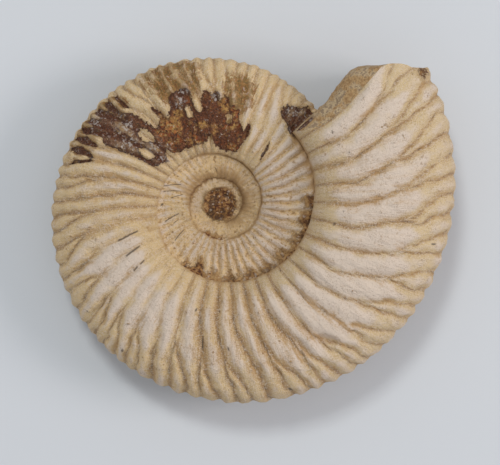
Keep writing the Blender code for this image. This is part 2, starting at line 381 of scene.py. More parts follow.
def inside_distance(places, outline):
    """Distance in mm from each place to the outline, above zero inside it."""
    start = outline * MM_PER_PLACE
    edge = np.roll(start, -1, axis=0) - start
    offset = places[:, None] * MM_PER_PLACE - start
    along = np.clip((offset * edge).sum(2) / (edge * edge).sum(1), 0, 1)
    gap = np.linalg.norm(offset - along[..., None] * edge, axis=2).min(1)
    below = offset[..., 1] < 0
    passes = below != (offset[..., 1] - edge[:, 1] < 0)
    level = np.where(edge[:, 1] == 0, 1, edge[:, 1])
    left = offset[..., 0] < edge[:, 0] * offset[..., 1] / level
    inside = (passes & left).sum(1) % 2 == 1
    return np.where(inside, gap, -gap)


def outline_field(angle, share, outlines):
    """The largest distance inside any of the outlines."""
    field = np.full(angle.shape, FAR_OUTSIDE)
    for outline in outlines:
        outline = np.array(outline) / (1, 100)
        low, high = outline.min(0), outline.max(0)
        near = (angle > low[0] - 4) & (angle < high[0] + 4)
        near &= (share > low[1] - 0.15) & (share < high[1] + 0.15)
        places = np.stack([angle[near], share[near]], axis=1)
        field[near] = np.maximum(field[near], inside_distance(places, outline))
    return field


def roughness(points, size, octaves):
    """Natural unevenness, about -1 to 1, with lumps of this size."""
    flat = points.reshape(-1, 3) / size
    values = [noise.fractal(Vector(point), 0.8, 2.1, octaves) for point in flat]
    return np.array(values).reshape(points.shape[:-1])


def outward_normals(points, side):
    """Directions out of the surface for a grid of points."""
    across, along = np.gradient(points, axis=(0, 1))
    normals = np.cross(across, along) * side
    return normals / np.maximum(np.linalg.norm(normals, axis=2, keepdims=True), 1e-12)


def plug_share(radius):
    """1 over the rock that fills the middle of the coil, fading to 0 round it."""
    return 1 - smooth(PLUG_RADIUS * 0.75, PLUG_RADIUS * 1.2, radius)


def shape_side(columns, rows, side, ends_at_mouth):
    """One side of a stretch of whorl. Returns grids of its points and of its looks."""
    angles = MOUTH_ANGLE + (columns - LAST_COLUMN) * COLUMN_STEP
    share, rise = row_places(rows, angles)
    angle = np.broadcast_to(angles, share.shape).copy()
    if ends_at_mouth:
        reach = np.clip((columns - (LAST_COLUMN - MOUTH_COLUMNS)) / MOUTH_COLUMNS, 0, 1)
        angle -= (MOUTH_ANGLE - np.interp(share, *zip(*MOUTH_EDGE))) * reach
    seam = seam_radius(angle)
    radius = seam + share * (venter_radius(angle) - seam)
    low = seam_height(angle)
    height = low + (flank_height(angle, share) - low) * rise
    turn = np.radians(angle)
    flat = np.stack([radius * np.cos(turn), radius * np.sin(turn), side * height], axis=2)
    normals = outward_normals(flat, side)
    if ends_at_mouth:
        normals[-1, :, 2] = 0
    wander = roughness(flat + 60, 0.13, 3) * smooth(0.1, 0.4, share)
    relief = rib_relief(angle + wander, share)
    from_seam = smooth(0, 0.05, share)
    uneven = 1 + 0.6 * roughness(flat + 80, 0.09, 3)
    ribs = rib_height(angle, share) * (1 - relief) * from_seam * uneven
    under_rim = 6 * smooth(0.96, 1, share + 0.03 * (uneven - 1)) * (angle < 200)
    if side > 0:
        flaked = flaked_above(angle, share, relief) - under_rim
    else:
        flaked = 9 * (roughness(flat + 40, 0.3, 3) - 0.42) - 8 * smooth(0.75, 0.95, share)
        flaked = np.where(angle > 60, flaked, FAR_OUTSIDE)
    lumps = roughness(flat + 10, 0.05, 5)
    grain = roughness(flat + 20, 0.018, 4)
    sunk = smooth(-0.15, 0.35, flaked)
    depth = sunk * (FLAKE_DEPTH - 0.55 * ribs + 0.0045 * grain) + ribs
    depth -= LUMP_HEIGHT * lumps * from_seam
    ridges = roughness(np.stack([angle * 0.05, share * 0.35, 0 * share], axis=2) + 50, 0.06, 4)
    depth -= RIDGE_HEIGHT * ridges * from_seam * venter_radius(angle)
    chip = outline_field(angle, share, CHIPS if side > 0 else ())
    depth += CHIP_DEPTH * smooth(-0.05, 0.2, chip)
    lip = np.exp(-(((share - covered_share(angle)) / 0.03) ** 2)) * smooth(396, 404, angle + 360)
    lip *= (1 - smooth(410, 414, angle + 360)) * ends_at_mouth
    depth -= LIP_HEIGHT * lip
    points = flat - normals * depth[..., None]
    points[..., 2] += side * seam_fillet(angle, share, not ends_at_mouth)
    plug = plug_share(radius)
    filled = side * (PLUG_HEIGHT + 0.004 * grain)
    points[..., 2] += (filled - points[..., 2]) * plug
    crust = np.maximum(plug, crust_by_seams(angle, share) if side > 0 else 0.3 * plug)
    olive = outline_field(angle, share, OLIVE_AREAS if side > 0 else ()) - under_rim
    dirt = seam_dirt(angle, share, not ends_at_mouth)
    warm = np.interp(angle, *WARMTH) * (1 - 0.3 * smooth(0.5, 0.9, share))
    pale = np.interp(angle, *PALENESS)
    if ends_at_mouth:
        pale *= (0.3 + 0.7 * smooth(0.08, 0.28, share)) * (1 - 0.6 * smooth(0.6, 0.85, share))
    pale = np.where(flaked > -0.5, spots(angle, share, PALE_SPOTS), pale)
    amber = spots(angle, share, AMBER_SPOTS)
    faded = 0.45 * (1 - smooth(-20, 60, angle)) + 0.45 * (1 - smooth(-380, -300, angle))
    faded = np.maximum(faded, 0.5 * worn_share(angle, share))
    relief = relief + (0.65 - relief) * faded
    rock = np.zeros_like(angle)
    looks = (angle, share, relief, flaked, crust, rock, olive, dirt, chip, warm, pale, amber)
    return points, np.stack(looks, axis=2)


def width_in_mm(angle):
    """How far it is from the seam to the venter."""
    return MM_PER_PLACE[1] * venter_radius(angle) / venter_radius(110)


def seam_fillet(angle, share, is_covered):
    """How far the bottom of a worn seam is filled up."""
    mm_high = width_in_mm(angle)
    fill = np.interp(angle, *SEAM_FILLS) * np.exp(-((share * mm_high / 0.7) ** 2))
    if is_covered:
        gap = (share - covered_share(angle)) * mm_high
        fill += np.interp(angle + 360, *SEAM_FILLS) * np.exp(-((gap / 0.7) ** 2))
    return fill


def seam_dirt(angle, share, is_covered):
    """Stain in the seams: 1 at a deeply stained seam, fading within a millimetre."""
    mm_high = width_in_mm(angle)
    amount = np.interp(angle, *SEAM_STAINS)
    reach = 0.3 + 1.2 * smooth(-150, -190, -np.abs(angle + 20)) * (angle < 0)
    dirt = amount * np.exp(-share * mm_high / reach)
    if is_covered:
        beyond = np.interp(angle + 360, *SEAM_STAINS)
        reach = 0.25 + 0.5 * smooth(240, 300, angle + 360)
        dirt += beyond * np.exp(-np.abs(share - covered_share(angle)) * mm_high / reach)
    return dirt


def spots(angle, share, places):
    """1 in the middle of each soft round spot and 0 away from them."""
    field = np.zeros_like(angle)
    for spot_angle, spot_share, size in places:
        gap = np.hypot((angle - spot_angle) * MM_PER_PLACE[0], (share - spot_share) * MM_PER_PLACE[1])
        field = np.maximum(field, 1 - smooth(0.3 * size, 1.2 * size, gap))
    return field


def flaked_above(angle, share, relief):
    """Distance in mm inside the flaked patches of the upper side."""
    flaked = outline_field(angle, share, FLAKED_OUTLINES)
    left = outline_field(angle, share, SHELL_ISLANDS)
    tips = smooth(131, 135, angle) * smooth(0.68, 0.8, share) * (angle < 180)
    return np.minimum(flaked, -left) - tips * (3.2 * relief - 0.9)


def crust_by_seams(angle, share):
    """Brown grains caught along the outer seam of the inner whorls: 0 to 1."""
    reach = 0.12 + 0.04 * np.sin(angle * 0.45) + 0.012 * np.sin(angle * 1.1 + 2)
    reach += 0.1 * np.exp(-(((angle + 107) / 4) ** 2)) - 0.05 * (angle < -500)
    near_seam = smooth(-reach - 0.12, -reach + 0.12, share - covered_share(angle)) * (angle < 50)
    crust = np.zeros_like(angle)
    for start, end, amount in SEAM_CRUSTS:
        along = smooth(start - 4, start + 3, angle) * (1 - smooth(end - 3, end + 4, angle))
        crust = np.maximum(crust, amount * along * near_seam)
    return crust


class Skin:
    """Points and faces, with twelve looks at every corner of every face, as LOOKS names them."""

    def __init__(self):
        self.points = np.zeros((0, 3))
        self.faces = {4: [], 3: []}
        self.looks = {4: [], 3: []}

    def add_points(self, points):
        """Adds a grid or row of points and returns their numbers in the same layout."""
        first = len(self.points)
        self.points = np.concatenate([self.points, points.reshape(-1, 3)])
        return np.arange(first, len(self.points)).reshape(points.shape[:-1])

    def add_faces(self, numbers, looks):
        """Adds faces, each given by a row of point numbers."""
        corners = numbers.shape[1]
        self.faces[corners].append(numbers)
        self.looks[corners].append(looks.reshape(-1, 12))

    def add_grid(self, numbers, looks):
        """Adds the faces between neighbouring rows and columns."""

        def corners(grid):
            parts = (grid[:-1, :-1], grid[1:, :-1], grid[1:, 1:], grid[:-1, 1:])
            return np.stack(parts, axis=2).reshape(-1, 4, *grid.shape[2:])

        self.add_faces(corners(numbers), corners(looks))

    def add_zip(self, outer, inner, looks):
        """Adds triangles between two rows of points of unlike counts."""
        triangles = []
        outer_last, inner_last = len(outer) - 1, len(inner) - 1
        i = j = 0
        while i < outer_last or j < inner_last:
            outer_next = (i + 1) / max(outer_last, 1)
            inner_next = (j + 1) / max(inner_last, 1)
            if j == inner_last or (outer_next <= inner_next and i < outer_last):
                corners = (outer[i], outer[i + 1], inner[j])
                i += 1
            else:
                corners = (outer[i], inner[j + 1], inner[j])
                j += 1
            if len(set(corners)) == 3:
                triangles.append(corners)
        triangles = np.array(triangles)
        self.add_faces(triangles, np.broadcast_to(looks, (len(triangles), 3, 12)))

    def make_mesh(self, name):
        """Makes the mesh, with its faces outwards and its corners sharp only where it is broken."""
        mesh = bpy.data.meshes.new(name)
        faces = [face for corners in (4, 3) for part in self.faces[corners] for face in part.tolist()]
        mesh.from_pydata(self.points.tolist(), [], faces)
        looks = np.concatenate(self.looks[4] + self.looks[3])
        for index, label in enumerate(LOOKS):
            layer = mesh.attributes.new(label, "FLOAT_VECTOR", "CORNER")
            layer.data.foreach_set("vector", looks[:, 3 * index : 3 * index + 3].ravel())
        bm = bmesh.new()
        bm.from_mesh(mesh)
        spare = [vert for vert in bm.verts if not vert.link_faces]
        bmesh.ops.delete(bm, geom=spare, context="VERTS")
        bmesh.ops.recalc_face_normals(bm, faces=bm.faces)
        bm.to_mesh(mesh)
        bm.free()
        mesh.shade_smooth()
        mesh.set_sharp_from_angle(angle=math.radians(60))
        return mesh


def add_side(skin, rows, side, venter=None):
    """Adds the whole coil on one side, joined to a row of points along the venter if there is one.
    Returns the numbers of the outer whorl's points, and the loop of points round the middle."""
    exposed = rows[0]
    inner_columns = np.arange(FIRST_OUTER_COLUMN + 1)
    outer_columns = np.arange(FIRST_OUTER_COLUMN, LAST_COLUMN + 1)
    outer = shape_side(outer_columns, rows, side, True)
    inner = shape_side(inner_columns, rows, side, False)
    inner = [grid[: exposed + 1] for grid in inner]
    outer_grid = skin.add_points(outer[0])
    inner_grid = skin.add_points(inner[0])
    inner_grid[:, -1] = outer_grid[: exposed + 1, 0]
    seams = np.concatenate([inner_grid[0, :-1], outer_grid[0]])
    inner_grid[exposed] = seams[COLUMNS_PER_TURN : COLUMNS_PER_TURN + len(inner_columns)]
    outer_grid[exposed, 0] = seams[-1]
    if venter is not None:
        outer_grid[-1] = venter
    skin.add_grid(outer_grid, outer[1])
    skin.add_grid(inner_grid, inner[1])
    middle = [*seams[: COLUMNS_PER_TURN + 1], *inner_grid[exposed - 1 : 0 : -1, 0]]
    return outer_grid, middle


def plain_looks(crust=0.0, rock=0.0):
    """The twelve looks of a place away from the shell's marks."""
    return (0, 0.5, 0.5, FAR_OUTSIDE, crust, rock, FAR_OUTSIDE, 0, FAR_OUTSIDE, 0.5, 0.5, 0)


def close_middle(skin, loop, side):
    """Fills the middle of the coil with grainy rock, in rings that shrink to a point."""
    looks = plain_looks(crust=1.0)
    rim = [*loop, loop[0]]
    for count, share in ((90, 0.86), (60, 0.6), (30, 0.3)):
        picked = skin.points[[rim[round(k * (len(rim) - 1) / count)] for k in range(count)]]
        points = picked * (share, share, 0)
        points[:, 2] = side * (PLUG_HEIGHT - 0.01 + 0.006 * roughness(points, 0.012, 3))
        numbers = skin.add_points(points).tolist()
        skin.add_zip(rim, [*numbers, numbers[0]], looks)
        rim = [*numbers, numbers[0]]
    centre = skin.add_points(np.array([[0, 0, side * (PLUG_HEIGHT - 0.012)]])).tolist()
    skin.add_zip(rim, centre, looks)


def close_mouth(skin, upper, lower):
    """The broken mouth: rough rock from the last section's edge to the whorl that it wraps."""
    outer = np.concatenate([upper[:, -1], lower[-2::-1, -1]])
    inner = np.concatenate([upper[UPPER_ROWS[0] :, 0], lower[-2 : LOWER_ROWS[0] - 1 : -1, 0]])
    rim, core = skin.points[outer], skin.points[inner]
    steps = np.linspace(0, len(core) - 1, len(rim))
    core = np.stack([np.interp(steps, np.arange(len(core)), core[:, k]) for k in range(3)], axis=1)
    share = np.linspace(0, 1, MOUTH_RINGS + 2)[:, None, None]
    flat = rim * (1 - share) + core * share
    radius = np.hypot(rim[:, 0], rim[:, 1])[None, :, None] * (1 - share)
    radius = radius + np.hypot(core[:, 0], core[:, 1])[None, :, None] * share
    turn = np.arctan2(rim[:, 1], rim[:, 0])[None, :, None]
    reach = (radius - seam_radius(400)) / (1 - seam_radius(400))
    bulged = np.radians(np.interp(reach, *MOUTH_BULGES) - 360)
    turn = turn + (bulged - turn) * (1 - (1 - share) ** MOUTH_BULGE_POWER)
    points = np.concatenate([radius * np.cos(turn), radius * np.sin(turn), flat[..., 2:]], axis=2)
    rough = roughness(points + 30, 0.04, 5)[..., None] * np.sin(share * math.pi) ** 0.5
    along = np.concatenate([-np.sin(turn), np.cos(turn), np.zeros_like(turn)], axis=2)
    points += along * rough * 0.007
    ends = smooth(0, 0.06, np.linspace(0, 1, len(rim)))
    ends = (ends * ends[::-1])[None, :, None]
    points = flat + (points - flat) * ends
    numbers = np.zeros(points.shape[:2], int)
    numbers[0] = outer
    numbers[1:-1, 1:-1] = skin.add_points(points[1:-1, 1:-1])
    numbers[1:-1, 0], numbers[1:-1, -1] = outer[0], outer[-1]
    looks = plain_looks(rock=1.0)
    spread = np.broadcast_to(looks, (*numbers[:-1, 1:-1].shape, 12)).copy()
    notch = (1 - smooth(0.1, 0.24, reach[:-1, 1:-1, 0])) * smooth(0.1, 0.35, share[:-1, :, 0])
    spread[..., 3] = (3.6 * notch - 1.8) * (points[:-1, 1:-1, 2] > 0) - 0.2
    skin.add_grid(numbers[:-1, 1:-1], spread)
    for end, beside in ((0, 1), (-1, -2)):
        skin.add_zip(numbers[:-1, beside].tolist(), [numbers[0, end]], looks)
    skin.add_zip(numbers[-2].tolist(), inner.tolist(), looks)


def lie_on_frame(points, wear):
    """Leans the coil onto its lower side, wears its lowest crests flat and fits it to the frame."""
    turn = math.radians(LEAN_TOWARDS + 90)
    hinge = Vector((math.cos(turn), math.sin(turn), 0))
    lean = np.array(Matrix.Rotation(math.radians(LEAN), 3, hinge))
    points = points @ lean.T
    points[:, 2] = np.maximum(points[:, 2], points[:, 2].min() + wear)
    low, high = points.min(0), points.max(0)
    size = (FRAME_HIGH.x - FRAME_LOW.x) / (high[0] - low[0])
    middle = (low + high) / 2
    middle[2] = low[2]
    home = (FRAME_LOW + FRAME_HIGH) / 2
    return (points - middle) * size + (home.x, home.y, FRAME_LOW.z)


class Graph:
    """Short ways to add a material's nodes and join them up."""

    def __init__(self, material):
        material.use_nodes = True
        self.tree = material.node_tree
        self.tree.nodes.clear()

    def node(self, kind, inputs=(), **settings):
        """Adds a node. Inputs are (name or number, value or socket) pairs."""
        node = self.tree.nodes.new(kind)
        for name, value in settings.items():
            setattr(node, name, value)
        for name, value in inputs:
            if isinstance(value, bpy.types.NodeSocket):
                self.tree.links.new(value, node.inputs[name])
            else:
                node.inputs[name].default_value = value
        return node

    def math(self, operation, *values):
        return self.node("ShaderNodeMath", enumerate(values), operation=operation).outputs[0]

    def step(self, value, low, high):
        """0 below low, 1 above high and a curve between, or the other way if low is larger."""
        inputs = [("Value", value), ("From Min", low), ("From Max", high)]
        curve = self.node("ShaderNodeMapRange", inputs, interpolation_type="SMOOTHSTEP")
        return curve.outputs["Result"]

    def noise(self, vector, scale, detail=4, distortion=0):
        inputs = [("Vector", vector), ("Scale", scale), ("Detail", detail), ("Distortion", distortion)]
        return self.node("ShaderNodeTexNoise", inputs).outputs["Fac"]

    def mix(self, share, first, second):
        """Blends two colours."""
        inputs = [("Factor", share), (6, first), (7, second)]
        return self.node("ShaderNodeMix", inputs, data_type="RGBA").outputs[2]

    def layer(self, name):
        """The three values of one of the skin's layers."""
        vector = self.node("ShaderNodeAttribute", attribute_name=name).outputs["Vector"]
        return self.node("ShaderNodeSeparateXYZ", [("Vector", vector)]).outputs


class StoneGraph(Graph):
    """The nodes of the fossil's stone, with what its layers have in common."""

    def __init__(self, material, colours):
        super().__init__(material)
        self.colours = colours
        self.spot = self.node("ShaderNodeTexCoord").outputs["Object"]
        self.angle, self.share, self.relief = self.layer(LOOKS[0])
        self.flaked, self.crust, self.rock = self.layer(LOOKS[1])
        self.olive, self.dirt, self.chip = self.layer(LOOKS[2])
        self.warm, self.pale, self.amber = self.layer(LOOKS[3])
        self.groove = self.math("SUBTRACT", 1, self.relief)
        self.broad = self.noise(self.spot, 60, 3)
        self.blotch = self.noise(self.spot, 190, 5, 0.5)
        self.middling = self.noise(self.spot, 480, 5)
        self.fine = self.noise(self.spot, 1700, 6)
        self.grain = self.noise(self.spot, 4200, 3)
        self.streaks = self.ribwise_noise(0.9, 5)
        self.thin_streaks = self.ribwise_noise(2.4, 9)
        self.facet_slope, self.facets = self.cells(2500)

    def cells(self, scale):
        """Cells, this many to a metre: how far their middles are, and three chance values each."""
        cells = self.node("ShaderNodeTexVoronoi", [("Vector", self.spot), ("Scale", scale)])
        picked = self.node("ShaderNodeSeparateColor", [("Color", cells.outputs["Color"])])
        return cells.outputs["Distance"], picked.outputs

    def ribwise_noise(self, across, along):
        """Noise that is drawn out along the ribs."""
        inputs = [("X", self.product(self.angle, across)), ("Y", self.product(self.share, along))]
        vector = self.node("ShaderNodeCombineXYZ", inputs).outputs[0]
        return self.noise(vector, 1, 4, 0.6)

    def product(self, *masks):
        """Multiplies masks. Each is a number, a socket or, in brackets, what step() needs."""
        masks = [self.step(*mask) if isinstance(mask, tuple) else mask for mask in masks]
        product = masks[0]
        for mask in masks[1:]:
            product = self.math("MULTIPLY", product, mask)
        return product

    def sum(self, *terms):
        """Adds up masks and numbers. One in brackets is followed by how much of it counts."""
        total = 0
        for term in terms:
            value, amount = term if isinstance(term, tuple) else (term, 1)
            total = self.math("MULTIPLY_ADD", value, amount, total)
        return total

    def dots(self, scale, size, kept):
        """Scattered dots: this many to a metre, with this share of them kept."""
        distance, picked = self.cells(scale)
        wobbly = self.sum(distance, (self.grain, 0.3))
        return self.product(
            (wobbly, size + 0.2, size + 0.08), (picked[1], 1 - kept - 0.02, 1 - kept)
        )

    def mark(self, angle, share, end_angle, end_share, half_width):
        """A scratch or dot between two places, a little ragged."""
        slope = (end_angle - angle) / (end_share - share)
        line = self.sum((self.share, slope), (self.fine, 1.5 * half_width))
        gap = self.math("SUBTRACT", self.angle, line)
        middle = angle - slope * share - 0.75 * half_width
        gap = self.math("ABSOLUTE", self.math("SUBTRACT", gap, middle))
        return self.product(
            (gap, 1.3 * half_width, 0.5 * half_width),
            (self.share, end_share - 0.01, end_share + 0.01),
            (self.share, share + 0.01, share - 0.01),
        )

    def marks(self):
        """All the scratches and dots."""
        found = 0
        for place in MARKS:
            found = self.math("MAXIMUM", found, self.mark(*place))
        return found

    def coats(self, base, *coats):
        """Lays colours over each other. Each has a name or a socket, and the masks that thin it."""
        for colour, *masks in coats:
            if isinstance(colour, str):
                colour = getattr(self.colours, colour)
            base = self.mix(self.product(*masks), base, colour)
        return base

    def shell_colour(self):
        """Cream shell, blotched, whiter on its crests, stained in its grooves and seams, with painted
        shade in the groove bottoms.
        """
        groove, warm = self.groove, self.warm
        outside = self.step(self.angle, 0, 60)
        by_mouth = self.step(self.angle, 250, 310)
        sunny = self.sum((outside, -0.55), (by_mouth, -0.35), 0.95)
        # How much the grooves are stained, and how much painted shade darkens their bottoms.
        groove_stain_and_shade = self.sum((outside, 0.3), (by_mouth, 0.12), 0.32)
        white = self.sum((self.relief, 0.55), (self.blotch, 1.1), (self.middling, 0.5), (self.pale, 0.8))
        stained = self.sum((groove, 0.45), (self.streaks, 1.3), (self.broad, 0.7), (self.middling, 0.7))
        stained = self.sum(stained, (warm, 0.9))
        inked = self.sum((outside, 0.7), 0.3)
        grit = self.sum(self.fine, (self.middling, 0.25))
        gritty = self.sum((groove, 0.35), self.blotch, (warm, 0.3), (outside, -0.25))
        gritty = self.step(gritty, 0.45, 0.85)
        flush = self.sum(self.blotch, (self.streaks, 0.6), (groove, 0.12))
        rusty = self.sum(self.broad, (warm, 0.3), (outside, -0.12))
        seam = self.product(self.dirt, (self.middling, 0.25, 0.6))
        chipped = self.sum(self.chip, (self.fine, 1.2))
        return self.coats(
            self.colours.shell,
            ("buff", (self.blotch, 0.38, 0.62), 0.6),
            ("honey", (self.blotch, 0.2, 0.45), sunny),
            ("crest", (white, 1.4, 1.85), 0.95),
            ("ochre", (stained, 1.85, 2.65), 0.85),
            ("stain", (groove, 0.5, 1), (self.streaks, 0.3, 0.55), groove_stain_and_shade),
            ("grime_and_shade", (self.thin_streaks, 0.56, 0.64), (groove, 0.5, 0.9), 0.35, inked),
            # Painted shade: grey-brown darkening in the bottoms of the grooves, where shade falls, over
            # some real dirt.
            ("grime_and_shade", (groove, 0.84, 1), (self.blotch, 0.38, 0.52), groove_stain_and_shade),
            ("crest", (self.grain, 0.5, 0.64), 0.55),
            ("stain", (self.grain, 0.47, 0.34), (self.middling, 0.34, 0.6), 0.42),
            ("ochre", (grit, 0.6, 0.48), gritty, 0.6),
            ("crest", (grit, 0.66, 0.78), gritty, 0.4),
            ("stain", (grit, 0.52, 0.42), gritty, 0.6),
            ("ochre", (flush, 0.92, 1.1), (groove, 0.1, 0.5), 0.55),
            ("stain", self.dots(900, 0.2, 0.3), (rusty, 0.52, 0.7), 0.8),
            ("grime_and_shade", self.dots(260, 0.06, 0.2), 0.75),
            ("ochre", (seam, 0.03, 0.4), 0.8),
            ("stain", (seam, 0.3, 0.95), 0.8),
            ("stain", (chipped, 0.4, 0.8), 0.3),
            ("grime_and_shade", self.marks(), 0.85),
        )

    def crystal_colour(self):
        """Red-brown crystals, amber in places, and duller at the older end of the patch, by the mouth
        and where they are milky, with painted glints on their facets."""
        wander = self.sum(self.angle, (self.blotch, 16))
        glassy = self.sum(self.pale, self.fine)
        is_dull = self.product((wander, 138, 146), (self.angle, 210, 200))
        is_dull = self.math("MAXIMUM", is_dull, self.step(self.angle, 62, 58))
        is_dull = self.math("MAXIMUM", is_dull, self.step(glassy, 0.8, 1.3))
        lit = self.sum((self.fine, 1.5), self.middling, (self.grain, 0.5), (self.amber, 0.35))
        mottled = self.sum(self.fine, (self.middling, 0.7))
        ridge = self.sum((self.relief, 0.6), self.streaks, (self.fine, 0.6))
        banded = self.sum((self.groove, 0.5), self.thin_streaks)
        # Where the painted glints on the crystal facets gather.
        glint_spread = self.sum((self.middling, 0.8), (self.blotch, 0.4), (self.amber, 0.15))
        not_dull = self.math("SUBTRACT", 1, is_dull)
        hardly_dull = self.math("SUBTRACT", 1, self.product(is_dull, 0.6))
        deep = self.sum(self.blotch, (self.middling, 0.5), (self.amber, 0.3))
        deep = self.product((deep, 0.9, 0.66), 0.75)
        milky = self.sum((self.fine, 1.3), (self.middling, 0.3), (self.pale, 0.14), (is_dull, 0.02))
        white_glint_share = self.sum((is_dull, 0.25), (self.pale, 0.3))
        dull = self.coats(
            self.colours.crystal,
            ("mauve", (mottled, 0.72, 0.98)),
            ("rock", (ridge, 1, 1.25), 0.75),
            ("dark", (banded, 0.62, 0.85), 0.85),
        )
        return self.coats(
            self.colours.dark,
            ("crystal", (self.fine, 0.36, 0.5)),
            ("amber", (lit, 1.5, 1.85), 0.95),
            (dull, is_dull, 0.9),
            ("dark", (self.facets[0], 0.6, 0.8), 0.4),
            # Painted glints: bright yellow highlights on crystal facets.
            ("glint_gold", (self.facets[1], 0.55, 0.75), (glint_spread, 0.45, 0.75), 0.85, hardly_dull),
            ("crystal", deep, (self.fine, 0.3, 0.5)),
            ("dark", deep, (self.grain, 0.44, 0.6)),
            ("pale_crystal", (milky, 0.94, 1.1), 0.75),
            ("flame", (self.facets[0], 0.3, 0.1), (self.blotch, 0.38, 0.55), 0.6, not_dull),
            # Painted glints: white highlights on scattered crystal facets, most where the crystals are
            # dull or milky.
            ("pale_crystal", (self.facets[2], 0.9, 0.96), white_glint_share),
            # Painted shade just inside the edge of the flaked patch, under the broken shell's step.
            ("dark", (self.flaked, 0.55, 0.05), 0.6),
        )

    def grain_colour(self):
        """Sugary brown grains, with a few painted white glints."""
        light = self.sum((self.fine, 0.6), self.middling, (self.blotch, 0.4))
        return self.coats(
            self.colours.crystal,
            ("amber", (self.fine, 0.4, 0.56)),
            ("ochre", (self.crust, 1, 0.7), (self.fine, 0.3, 0.56), 0.85),
            ("ochre", (light, 0.98, 1.14), 0.85),
            ("stain", (self.facets[0], 0.6, 0.8), 0.6),
            ("dark", (light, 1.04, 0.84), 0.8),
            # Painted glints: whitish sparkles on a few grains.
            ("crest", (self.facets[1], 0.93, 0.97), 0.4),
        )

    def olive_colour(self, shell):
        """Shell worn so thin that the crystals show through it."""
        return self.coats(
            self.colours.olive,
            ("amber", (self.fine, 0.4, 0.64)),
            # Painted glints: yellow highlights of the crystals under the thin shell.
            ("glint_gold", (self.grain, 0.5, 0.62), 0.5),
            (shell, (self.middling, 0.52, 0.64), 0.6),
            ("crystal", (self.thin_streaks, 0.54, 0.62), 0.6),
            ("pale_crystal", (self.fine, 0.6, 0.7), 0.6),
            (shell, (self.relief, 0.7, 1), 0.35),
        )

    def rock_colour(self):
        """Tan rock of the mouth, with rusty, pale and dark grains."""
        rusty = self.sum(self.fine, (self.middling, 0.6))
        return self.coats(
            self.colours.rock,
            ("shell", (self.fine, 0.4, 0.62), 0.7),
            ("ochre", (self.middling, 0.46, 0.54), 0.85),
            ("stain", (rusty, 0.82, 0.94), 0.7),
            ("grime_and_shade", (rusty, 0.74, 0.66), 0.4),
        )


def stone_material(colours):
    """Pale shell stained in its grooves, with painted shade in their bottoms, and brown crystals with
    painted glints, crust and rock where it has broken.
    """
    material = bpy.data.materials.new("fossil_stone")
    stone = StoneGraph(material, colours)
    jag = stone.product(stone.math("SUBTRACT", stone.fine, 0.5), 1.4)
    thin = stone.sum(stone.olive, (jag, 1.5), (stone.middling, 4.5), (stone.streaks, 3))
    patch = stone.step(stone.math("ADD", stone.flaked, jag), -0.05, 0.1)
    crusted = stone.sum(stone.crust, (jag, 1.2), (stone.middling, 1.6))
    crusted = stone.step(crusted, 1.15, 1.55)
    shell = stone.shell_colour()
    colour = stone.coats(
        shell,
        (stone.olive_colour(shell), (thin, 2.5, 3.3)),
        (stone.rock_colour(), stone.rock),
        ("stain", (stone.flaked, -0.6, 0), 0.35),
        (stone.crystal_colour(), patch),
        (stone.grain_colour(), crusted),
    )

    broken = stone.math("MAXIMUM", patch, stone.math("MAXIMUM", crusted, stone.rock))
    glossy = stone.product(patch, (stone.facets[2], 0.3, 0.8), 0.5)
    height = stone.sum((stone.middling, 0.8), (stone.fine, 0.75), (stone.grain, 0.5))
    height = stone.sum(height, (stone.thin_streaks, 0.6), (stone.blotch, 0.8))
    height = stone.math("ADD", height, stone.product(broken, stone.facet_slope, 0.8))
    bump_inputs = [("Strength", 0.9), ("Distance", BUMP_HEIGHT), ("Height", height)]
    inputs = [
        ("Base Color", colour),
        ("Roughness", stone.math("SUBTRACT", SHELL_ROUGHNESS, glossy)),
        ("Normal", stone.node("ShaderNodeBump", bump_inputs).outputs[0]),
        ("Specular IOR Level", 0.35),
    ]
    shader = stone.node("ShaderNodeBsdfPrincipled", inputs)
    stone.node("ShaderNodeOutputMaterial", [("Surface", shader.outputs[0])])
    return material


def colour_setting(name, description, red, green, blue):
    return bpy.props.FloatVectorProperty(
        name=name, description=description, subtype="COLOR", size=4, min=0.0, max=1.0,
        default=(red, green, blue, 1.0),
    )


